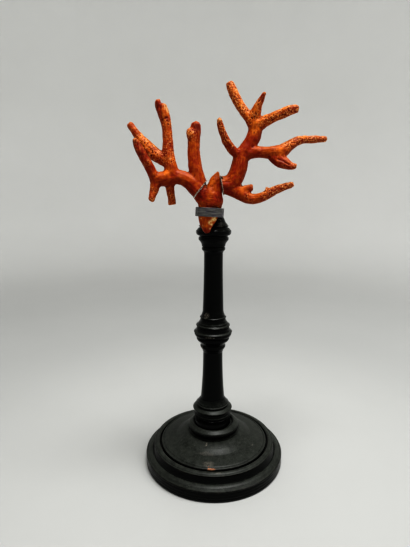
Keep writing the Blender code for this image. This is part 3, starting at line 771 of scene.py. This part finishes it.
def make_base(surface):
    profile = [
        # underside and rim
        (0, 0), (53.6, 0), (54.6, 0.35), (55, 1.2), *score(55, 2.6), *score(54.95, 4.7, 0.15),
        *score(54.95, 6.9, 0.2), (54.95, 7.6), (54.95, 8.2), (54.4, 8.65), (53.9, 9.05), (53.75, 8.85),
        (53.45, 9.15), *sweep((53.1, 9.35), (51.2, 10.5), 0.25, 6), (50.6, 10.7), (49.5, 10.75),
        # cove and the ledge over it
        *sweep((49.3, 11.1), (48, 14.5), -0.05, 6), (47.9, 14.9), (48.2, 15.2), (48.35, 15.6),
        (48.15, 16), (47.7, 16.2), (47.4, 16), (47.1, 16.35),
        *sweep((46.9, 16.5), (45.6, 17.1), 0.1, 4),
        # groove round the dome
        (44.9, 17.2), (44.2, 17), (43.7, 16.4), (43.3, 15.6), (42.9, 15.6), (42.7, 16.7),
        # dome
        (42.4, 17.2), (42.1, 17.5), (41.1, 17.75), (40.7, 17.5), (40.2, 17.95),
        *sweep((39.8, 18.1), (31, 20.2), 0.25, 8), *sweep((30.3, 20.4), (26.2, 22.6), -0.15, 6),
        *sweep((25.7, 22.8), (21.8, 24.3), 0.2, 6),
        # top bead and the dish in it
        (20.6, 24.5), (19.6, 24.5), (19, 25), *bead(25.7, 31.5, 17.3, 3.1, 16)[:11], (19.6, 30.4),
        (18.9, 30.85), (18.2, 31.35), (17.5, 31.85), (16.9, 32.1), (16.3, 32.2), (15.7, 31.8),
        (15.3, 31.2), (14.9, 30.6), (0, 30.6),
    ]
    skin = Skin(lathed("turned_base", profile, BASE_SIDES))
    wear_down(skin, BASE_CHIPS, BASE_RUBS, seed=41)
    finish_turned(skin, "turned_base", surface, "stand_base")


def make_column(surface):
    foot = middle_at("stand_column", 0)
    head = middle_at("stand_column", 1)
    profile = [
        # tenon
        (0, foot.z / MM), (6.6, foot.z / MM), (7, foot.z / MM + 0.5), (7, 30.9),
        # foot
        (14.3, 30.9), (14.6, 31.6), *sweep((14.6, 32), (14.35, 37.8), -0.35),
        # collar
        (14.55, 37.9), (14.05, 38.3), *bead(38.6, 40.6, 14, 0.75, 8)[:6], (13.95, 40.55), (13.9, 41.1),
        *sweep((13.8, 41.5), (14.3, 43.7), -0.35, 5), (15.2, 43.9), (15.6, 44.2), (15.5, 44.4),
        *sweep((15, 44.8), (12.6, 46.4), 0.12, 6), (12.1, 46.5), (12.05, 47.3), (12.8, 47.4),
        (13.15, 47.7), (13.1, 47.95), (12.3, 48.6), *sweep((12.2, 48.8), (9.45, 53), -0.15, 8),
        # lower shaft
        *sweep((9.3, 54), (7.7, 84), -0.28, 12), *sweep((7.68, 85), (7.62, 91), 0, 4),
        # knop
        (7.9, 91.9), *sweep((8.1, 92.1), (9.3, 94.6), -0.2, 5), *bead(94.9, 97.3, 9.3, 0.55, 8),
        (9.3, 97.5), *sweep((9.7, 97.8), (12.2, 101), -0.4, 8), *bead(101.2, 103.9, 12.1, 0.7, 8),
        (12.2, 104.1), (12.9, 104.4), *sweep((13.9, 104.8), (14.5, 106.9), 0.2, 5), (14.3, 107),
        (14.3, 107.2), (14.7, 107.5), (14.85, 107.8), (14.75, 108), (13.5, 109),
        *sweep((13.4, 109.2), (12.6, 111.4), -0.1, 8), (12.2, 111.6), (12.15, 112.3), (12.7, 112.6),
        (13.1, 112.9), (13.1, 113.2), (11.6, 114.35), *sweep((11.6, 114.6), (9.7, 118.2), -0.35, 8),
        (9.3, 118.5), (9.3, 119), (10, 119.2), (10.2, 119.5), (9.45, 120.1),
        *sweep((9.3, 120.4), (8.05, 124.4), -0.2, 6),
        # upper shaft
        *sweep((8, 125.2), (7.2, 157), -0.08, 12), *sweep((7.18, 158), (7.15, 169.2), 0, 4),
        # capital
        (7.4, 170.2), (7.9, 170.9), *bead(171.2, 174, 8.1, 0.75, 8), (8.5, 174.3),
        *sweep((8.8, 174.6), (10.5, 178.4), -0.35, 6), *bead(178.6, 181.5, 10.5, 0.85, 8),
        (10.5, 181.7), (10.6, 182.2), *bead(182.5, 187.6, 11, 2.2, 14)[:9], (13.15, 185.9),
        (13.05, 186.2), (12.55, 186.6), *sweep((12.4, 186.8), (11.3, 188), 0.1, 4), (10.6, 188.4),
        (10.5, 188.9), (11, 189.2), (11.15, 189.6), (10.6, 190),
        *sweep((10.4, 190.3), (8.2, 194), -0.3, 6), (7.4, 195.6), (6.9, 195.7),
        # dowel
        (5, 195.9), *sweep((5, 196.4), (4.9, 203.4), 0, 4), (4.5, head.z / MM), (0, head.z / MM),
    ]
    skin = Skin(lathed("turned_column", profile, COLUMN_SIDES))
    wear_down(skin, [], COLUMN_RUBS, seed=53)
    upright = Vector((0.0, 0.0, head.z - foot.z))
    lean = upright.rotation_difference(head - foot).to_matrix().to_4x4()
    place = Matrix.Translation(foot) @ lean @ Matrix.Translation((0.0, 0.0, -foot.z))
    skin.mesh.transform(place)
    finish_turned(skin, "turned_column", surface, "stand_column")


def middle_at(node, end):
    """The middle of a turned CAD node's lowest (0) or highest (1) face."""
    places = read(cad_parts[node].data.vertices, "co", 3)
    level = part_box(node)[end].z
    face = places[np.abs(places[:, 2] - level) < END_DEPTH * MM]
    return Vector((face.min(axis=0) + face.max(axis=0)) / 2.0)


def finish_turned(skin, name, surface, node):
    skin.mesh.shade_smooth()
    skin.mesh.set_sharp_from_angle(angle=SHARP_ANGLE)
    piece(name, skin.mesh, surface, [node])


# Metal -----------------


def make_strip(surface):
    """The strip with rounded edges, a little wavy and dented, as it was bent by hand."""
    plain = as_mesh(welded("clamp_band"), "strip")
    rounded = modified(
        plain, "BEVEL", width=STRIP_EDGE * MM, segments=3, limit_method="ANGLE", angle_limit=SHARP_ANGLE
    )
    shape = bmesh.new()
    shape.from_mesh(rounded)
    bmesh.ops.triangulate(shape, faces=shape.faces)
    for _ in range(5):
        long_edges = [edge for edge in shape.edges if edge.calc_length() > STRIP_STEP * MM]
        bmesh.ops.subdivide_edges(shape, edges=long_edges, cuts=1)
        bmesh.ops.triangulate(shape, faces=shape.faces)
    shape.to_mesh(rounded)
    shape.free()
    skin = Skin(rounded)
    middle = skin.places.mean(axis=0)
    outwards = skin.places - middle
    outwards[:, 2] = 0.0
    waves = STRIP_WAVES[0] * smooth_noise(skin.places, STRIP_WAVES[1], 61)
    dents = STRIP_DENTS[0] * smooth_noise(skin.places, STRIP_DENTS[1], 62, 2)
    skin.places += unit(outwards) * ((waves + dents) * MM)[:, None]
    skin.refresh()
    skin.mesh.shade_smooth()
    piece("grey_strip", skin.mesh, surface, ["clamp_band"])


def seam_of(wire, cluster):
    """The middle of a seam and the way across it into the cluster, from the CAD wire that lies in it."""
    places = read(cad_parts[wire].data.vertices, "co", 3)
    middle = places.mean(axis=0)
    across = np.linalg.svd(places - middle, full_matrices=False)[2][2]
    return middle, across * np.sign(across @ (cluster.places.mean(axis=0) - middle))


def tube(name, points, radius):
    """A closed round tube through the points, all in metres, with rings square to it."""
    ways = unit(np.gradient(points, axis=0))
    side = np.cross(ways[0], (0.0, 0.0, 1.0) if abs(ways[0][2]) < 0.9 else (1.0, 0.0, 0.0))
    corners = []
    for point, way in zip(points, ways):
        side = unit(side - way * (side @ way))
        up = np.cross(way, side)
        for k in range(WIRE_SIDES):
            turn = math.tau * k / WIRE_SIDES
            corners.append(point + radius * (side * math.cos(turn) + up * math.sin(turn)))
    faces = [tuple(range(WIRE_SIDES))[::-1], tuple(len(corners) - WIRE_SIDES + k for k in range(WIRE_SIDES))]
    faces += ring_faces(len(points), WIRE_SIDES)
    mesh = bpy.data.meshes.new(name)
    mesh.from_pydata([tuple(c) for c in corners], [], faces)
    mesh.update()
    return mesh


def spaced(points, step, closed=False):
    """Points evenly spaced along a line through the given ones."""
    line = np.vstack([points, points[:1]]) if closed else np.array(points)
    run = np.concatenate([[0.0], np.cumsum(np.linalg.norm(np.diff(line, axis=0), axis=1))])
    count = max(4, round(run[-1] / step))
    marks = np.linspace(0.0, run[-1], count, endpoint=not closed)
    return np.stack([np.interp(marks, run, column) for column in line.T], axis=1)


def rounded_line(points, times):
    """The line with its corners rounded off; its two ends stay."""
    for _ in range(times):
        points = np.vstack([points[:1], (points[:-2] + 2.0 * points[1:-1] + points[2:]) / 4.0, points[-1:]])
    return points


def make_wire(name, node, cluster, twist, surface):
    """Wire pulled tight round the cluster's foot beside the seam, its two ends twisted together."""
    middle, across = seam_of(node, cluster)
    off = (cluster.places - middle) @ across / MM
    rim = cluster.places[(off > RIM[0]) & (off < RIM[1])]
    first = unit(np.cross(across, (0.0, 0.0, 1.0)))
    second = np.cross(across, first)
    flat = [Vector(((p - middle) @ first, (p - middle) @ second)) for p in rim]
    hull = np.array([flat[k] for k in convex_hull_2d(flat)])
    centre = hull.mean(axis=0)
    away = np.linalg.norm(hull - centre, axis=1)[:, None]
    hull = centre + (hull - centre) * (1.0 + WIRE_RADIUS * MM / away)
    loop = spaced(hull, WIRE_STEP * MM, closed=True)
    loop = middle + across * WIRE_SHIFT * MM + loop[:, :1] * first + loop[:, 1:] * second
    leaving, bends = twist
    start = np.argmax((loop - loop.mean(axis=0)) @ unit(np.array(leaving)))
    loop = np.roll(loop, -start, axis=0)
    tail = np.vstack([loop[:1], loop[0] + np.array(bends) * MM])
    tail = rounded_line(spaced(tail, TWIST_STEP * MM), 6)
    ways = unit(np.gradient(tail, axis=0))
    side = unit(np.cross(ways, across))
    up = np.cross(ways, side)
    run = np.linspace(0.0, 1.0, len(tail))[:, None] * len(tail) * TWIST_STEP / TWIST_PITCH * math.tau
    spiral = (side * np.cos(run) + up * np.sin(run)) * WIRE_RADIUS * MM
    route = np.vstack([(tail + spiral)[::-1], loop[1:], tail - spiral])
    mesh = tube(name, rounded_line(spaced(route, 0.3 * MM), 3), WIRE_RADIUS * MM)
    skin = Skin(mesh)
    skin.store("twisted", nearness(skin, tail.mean(axis=0) / MM, TWIST_REACH))
    mesh.shade_smooth()
    piece(name, mesh, surface, [node])


# Surfaces --------------


class Surface:
    """A Principled material in the making.

    A value is an output, a number or the name of a value stored with the mesh; a colour is an output or
    (red, green, blue).
    """

    def __init__(self, name, colour):
        self.material = bpy.data.materials.new(name)
        self.material.use_nodes = True
        self.tree = self.material.node_tree
        self.shader = self.tree.nodes["Principled BSDF"]
        self.places = self.add("TexCoord").outputs["Object"]
        self.colour = colour

    def add(self, kind, inputs=None, **settings):
        node = self.tree.nodes.new("ShaderNode" + kind)
        for name, value in settings.items():
            setattr(node, name, value)
        for name, value in (inputs or {}).items():
            self.feed(node.inputs[name], value)
        return node

    def feed(self, socket, value):
        if isinstance(value, str):
            value = self.add("Attribute", attribute_name=value).outputs["Fac"]
        if isinstance(value, bpy.types.NodeSocket):
            self.tree.links.new(value, socket)
        else:
            socket.default_value = value

    def set(self, name, value):
        self.feed(self.shader.inputs[name], value)

    def stretched(self, scale):
        return self.add("Mapping", {"Vector": self.places, "Scale": scale}).outputs["Vector"]

    def noise(self, size, detail=3.0, roughness=0.55, places=None):
        """Noise from 0 to 1 with features of about that size in millimetres."""
        inputs = {
            "Vector": self.places if places is None else places,
            "Scale": 1.0 / (size * MM),
            "Detail": detail,
            "Roughness": roughness,
        }
        return self.add("TexNoise", inputs).outputs["Fac"]

    def step(self, value, low, high, bottom=0.0, top=1.0):
        """The value taken smoothly from low-high to bottom-top."""
        inputs = {"Value": value, "From Min": low, "From Max": high, "To Min": bottom, "To Max": top}
        return self.add("MapRange", inputs, interpolation_type="SMOOTHSTEP").outputs["Result"]

    def maths(self, operation, a, b):
        """Two values put together; the operation is one that Blender knows."""
        node = self.add("Math", operation=operation)
        self.feed(node.inputs[0], a)
        self.feed(node.inputs[1], b)
        return node.outputs["Value"]

    def times(self, a, b):
        return self.maths("MULTIPLY", a, b)

    def mix(self, share, a, b):
        node = self.add("Mix", data_type="RGBA")
        for number, value in ((0, share), (6, a), (7, b)):
            self.feed(node.inputs[number], (*value, 1.0) if isinstance(value, tuple) else value)
        return node.outputs[2]

    def tint(self, share, colour):
        """Lays a colour over the surface's own."""
        self.colour = self.mix(share, self.colour, colour)

    def bump(self, height, depth, under=None):
        """Relief of so many millimetres."""
        inputs = {"Height": height, "Strength": 1.0, "Distance": depth * MM}
        if under is not None:
            inputs["Normal"] = under
        return self.add("Bump", inputs).outputs["Normal"]

    def finished(self):
        """The material, with its colour laid on."""
        self.set("Base Color", self.colour)
        return self.material


def coral_surface():
    s = Surface("red coral", (0.150, 0.014, 0.006))
    uneven = s.step(s.noise(2.6, 4.0), 0.3, 0.7, -0.40, 0.40)
    uneven = s.times(uneven, s.step("rough", 0.0, 0.5, 0.5, 1.0))
    orange = s.maths("ADD", "orange", uneven)
    s.tint(s.step(orange, -0.7, 0.05), (0.300, 0.032, 0.008))
    s.tint(s.step(orange, 0.0, 0.6), (0.430, 0.090, 0.009))
    s.tint(s.step(orange, 0.5, 1.1), (0.690, 0.190, 0.020))
    s.tint(s.step("streak", 0.1, 2.2, 0.0, 0.18), (0.66, 0.220, 0.025))
    s.tint(s.step("streak", -0.1, -2.0, 0.0, 0.35), (0.14, 0.012, 0.004))
    ochre = s.times(s.step(s.noise(2.2), 0.56, 0.68), s.step(orange, 0.5, 1.0))
    s.tint(s.times(ochre, 0.4), (0.60, 0.30, 0.040))
    # Painted light: rough coral is painted lighter where it faces up, as if lit from above.
    top = s.times(s.step("top", 0.2, 0.95), s.step("rough", 0.1, 0.8, 0.15, 0.45))
    s.tint(top, (0.80, 0.30, 0.06))
    # Painted shade: the coral is painted dark maroon where it faces down.
    s.tint(s.step("top", 0.2, -0.5, 0.0, 0.55), (0.17, 0.015, 0.005))
    patchy = s.step(s.noise(1.7, 3.0, 0.7), 0.50, 0.40)
    mottle = s.times(patchy, s.step("rough", 0.15, 0.7, 0.0, 0.8))
    s.tint(mottle, (0.24, 0.020, 0.006))
    crust = s.step(s.noise(1.15, 3.0, 0.7), 0.535, 0.60)
    specks = s.times(crust, s.step("rough", 0.2, 0.7, 0.0, 0.7))
    s.tint(specks, (0.95, 0.50, 0.21))
    # Painted shade: the coral is painted dark in its hollows.
    s.tint(s.step("hollow", 0.05, 0.9, 0.0, 0.75), (0.11, 0.010, 0.004))
    ridge = s.times(s.step("hollow", -0.1, -0.9), s.step("rough", 0.1, 0.8, 0.15, 0.55))
    s.tint(ridge, (0.88, 0.38, 0.11))
    s.tint(s.step("pit", 0.1, 0.8, 0.0, 0.72), (0.15, 0.015, 0.006))
    bare = s.mix(s.step(s.noise(1.4, 4.0), 0.40, 0.56), (0.50, 0.15, 0.020), (0.82, 0.62, 0.30))
    s.tint(s.step("pale", 0.1, 0.8), bare)
    # Painted shade: the coral is painted dark where it meets the strip and the wires.
    s.tint(s.step("metal_contact_shade", 0.15, 0.8, 0.0, 0.75), (0.040, 0.010, 0.005))
    s.set("Roughness", s.step("rough", 0.0, 0.9, 0.44, 0.50))
    s.set("Specular IOR Level", 0.22)
    fine = s.bump(s.noise(0.35, 2.0), 0.05)
    s.set("Normal", s.bump(s.noise(1.1), 0.16, fine))
    return s.finished()


def wood_surface():
    s = Surface("black turned wood", (0.0026, 0.0032, 0.0026))
    facing_up = s.step("top", 0.35, 0.9)
    # Dust lies on the parts that face up. It is left off the sunk parts, so that they stay dark as painted
    # shade.
    dust_outside_shade = s.times(facing_up, s.step("recess_shade", 0.0, 1.0, 1.0, 0.1))
    dust_and_recess_shade = s.times(s.step(s.noise(4.0, 8.0, 0.78), 0.35, 0.65, 0.5, 1.05), dust_outside_shade)
    s.tint(dust_and_recess_shade, (0.046, 0.050, 0.043))
    worn = s.times("edge", s.step(s.noise(1.6, 4.0), 0.45, 0.7, 0.0, 0.5))
    s.tint(worn, (0.085, 0.080, 0.066))
    specks = s.times(s.step(s.noise(0.5, 2.0), 0.60, 0.70, 0.0, 0.5), facing_up)
    s.tint(specks, (0.15, 0.15, 0.13))
    thin = s.times("thin", s.step(s.noise(0.7, 4.0), 0.42, 0.62, 0.15, 0.9))
    s.tint(thin, (0.30, 0.27, 0.23))
    tan = s.mix(s.step(s.noise(0.9, 4.0), 0.38, 0.62), (0.16, 0.042, 0.010), (0.32, 0.15, 0.065))
    ragged = s.maths("ADD", "bare", s.step(s.noise(0.6), 0.3, 0.7, -0.25, 0.25))
    s.tint(s.step(ragged, 0.3, 0.7), tan)
    s.set("Roughness", s.step(dust_and_recess_shade, 0.0, 0.8, 0.17, 0.42))
    s.set("Specular IOR Level", 0.24)
    s.set("Normal", s.bump(s.noise(0.8), 0.03))
    return s.finished()


def strip_surface():
    s = Surface("grey strip metal", (0.120, 0.118, 0.112))
    scuffs = s.noise(0.8, 4.0, 0.6, s.stretched((0.12, 0.12, 1.0)))
    s.tint(s.step(s.noise(4.0), 0.35, 0.65), (0.100, 0.094, 0.110))
    s.tint(s.step(scuffs, 0.42, 0.75), (0.26, 0.25, 0.235))
    s.tint(s.step(scuffs, 0.45, 0.25), (0.045, 0.042, 0.046))
    s.set("Metallic", 0.5)
    s.set("Roughness", s.step(s.noise(1.5), 0.3, 0.7, 0.40, 0.60))
    s.set("Normal", s.bump(scuffs, 0.05))
    return s.finished()


def wire_surface():
    s = Surface("thin wire", (0.62, 0.53, 0.43))
    s.tint(s.step(s.noise(1.2), 0.45, 0.65), (0.22, 0.15, 0.09))
    s.tint(s.step("twisted", 0.1, 0.7), (0.06, 0.045, 0.035))
    s.set("Metallic", 0.6)
    s.set("Roughness", s.step(s.noise(0.6, 2.0), 0.3, 0.7, 0.3, 0.5))
    s.set("Normal", s.bump(s.noise(0.3, 2.0), 0.02))
    return s.finished()


def floor_surface():
    s = Surface("pale floor", (0.455, 0.458, 0.445))
    away = s.add("VectorMath", {"Vector": s.places}, operation="LENGTH").outputs["Value"]
    s.tint(s.noise(60.0, 4.0), (0.475, 0.478, 0.465))
    # Painted shade: the floor is painted darker round the middle, as light falling off behind the object.
    around = s.mix(s.noise(150.0, 5.0), (0.39, 0.393, 0.384), (0.42, 0.423, 0.412))
    s.tint(s.step(away, 0.10, 0.35), around)
    # Painted light: the sweep is painted lighter, to make up for the weaker light that reaches it.
    rise = s.mix(s.noise(200.0, 5.0), (0.56, 0.563, 0.55), (0.60, 0.603, 0.59))
    s.tint(s.step(away, 0.5, 1.2), rise)
    s.set("Roughness", 0.7)
    return s.finished()


# Studio ----------------

CAMERA_PLACE = (-6.32, -307.45, 211.62)
CAMERA_PITCH = math.radians(79.27)
CAMERA_ROLL = math.radians(-0.33)
CAMERA_LENS = 27.05

# Lights: name, place, width, height, all in metres, and watts
LIGHTS = [
    ("key", (0.18, -0.26, 1.6), 0.95, 0.42, 18.5),
    ("side", (0.95, -0.20, 1.2), 0.7, 0.5, 2.6),
]
LIT_PLACE = (0.0, 0.0, 0.15)  # the middle of the object, in metres
WORLD_COLOUR = (1.0, 0.99, 0.96, 1.0)
WORLD_STRENGTH = 0.12

FLOOR_FLAT = 0.8  # radius of the flat floor, in metres; beyond it the floor sweeps up all round
FLOOR_SWEEP = 0.6
FLOOR_RISE = 0.5
FLOOR_STEPS = 16  # of the sweep
FLOOR_SIDES = 96


def make_camera():
    data = bpy.data.cameras.new("camera")
    data.lens = CAMERA_LENS
    camera = placed("camera", data)
    turn = Matrix.Rotation(CAMERA_PITCH, 4, "X") @ Matrix.Rotation(CAMERA_ROLL, 4, "Z")
    camera.matrix_world = Matrix.Translation(Vector(CAMERA_PLACE) * MM) @ turn
    bpy.context.scene.camera = camera


def make_floor():
    """A pale floor that sweeps up into a plain backdrop on every side."""
    shape = bmesh.new()
    profile = [(0.0, 0.0), (FLOOR_FLAT, 0.0)]
    for k in range(1, FLOOR_STEPS + 1):
        turn = math.pi / 2.0 * k / FLOOR_STEPS
        profile.append((FLOOR_FLAT + FLOOR_SWEEP * math.sin(turn), FLOOR_SWEEP * (1.0 - math.cos(turn))))
    profile.append((FLOOR_FLAT + FLOOR_SWEEP, FLOOR_SWEEP + FLOOR_RISE))
    points = [shape.verts.new((r, 0.0, z)) for r, z in profile]
    for low, high in zip(points, points[1:]):
        shape.edges.new((low, high))
    bmesh.ops.spin(
        shape,
        geom=shape.verts[:] + shape.edges[:],
        axis=(0.0, 0.0, 1.0),
        cent=(0.0, 0.0, 0.0),
        angle=math.tau,
        steps=FLOOR_SIDES,
        use_merge=True,
    )
    bmesh.ops.remove_doubles(shape, verts=shape.verts, dist=WELD)
    mesh = as_mesh(shape, "floor")
    mesh.shade_smooth()
    mesh.materials.append(floor_surface())
    floor = placed("floor", mesh)


def make_light(name, place, width, height, watts):
    """A soft light that looks at the middle of the object."""
    data = bpy.data.lights.new(name, "AREA")
    data.shape = "RECTANGLE"
    data.size = width
    data.size_y = height
    data.energy = watts
    light = placed(name, data)
    light.location = place
    aim = Vector(LIT_PLACE) - Vector(place)
    light.rotation_euler = aim.to_track_quat("-Z", "Y").to_euler()
    light.visible_camera = False


def make_world():
    world = bpy.data.worlds.new("studio")
    world.use_nodes = True
    background = world.node_tree.nodes["Background"]
    background.inputs["Color"].default_value = WORLD_COLOUR
    background.inputs["Strength"].default_value = WORLD_STRENGTH
    bpy.context.scene.world = world
    bpy.context.scene.view_settings.view_transform = "Standard"
    bpy.context.scene.view_settings.look = "Very High Contrast"


def main():
    coral = coral_surface()
    stem_marks = ([], STEM_BULGES, STEM_RIDGES, STEM_PATCHES)
    left_marks = (LEFT_BREAKS, LEFT_BULGES, LEFT_RIDGES, LEFT_PATCHES)
    right_marks = (RIGHT_BREAKS, RIGHT_BULGES, RIGHT_RIDGES, RIGHT_PATCHES)
    make_coral("stem_coral", STEM, STEM_VOXEL, stem_marks, coral, seed=11)
    left = make_coral("left_coral", LEFT_CLUSTER, SKIN_VOXEL, left_marks, coral, seed=23)
    right = make_coral("right_coral", RIGHT_CLUSTER, SKIN_VOXEL, right_marks, coral, seed=37)
    wood = wood_surface()
    make_base(wood)
    make_column(wood)
    make_strip(strip_surface())
    silver = wire_surface()
    make_wire("left_tie", "wire_left", left, LEFT_TWIST, silver)
    make_wire("right_tie", "wire_right", right, RIGHT_TWIST, silver)
    make_floor()
    for light in LIGHTS:
        make_light(*light)
    make_world()
    make_camera()


main()
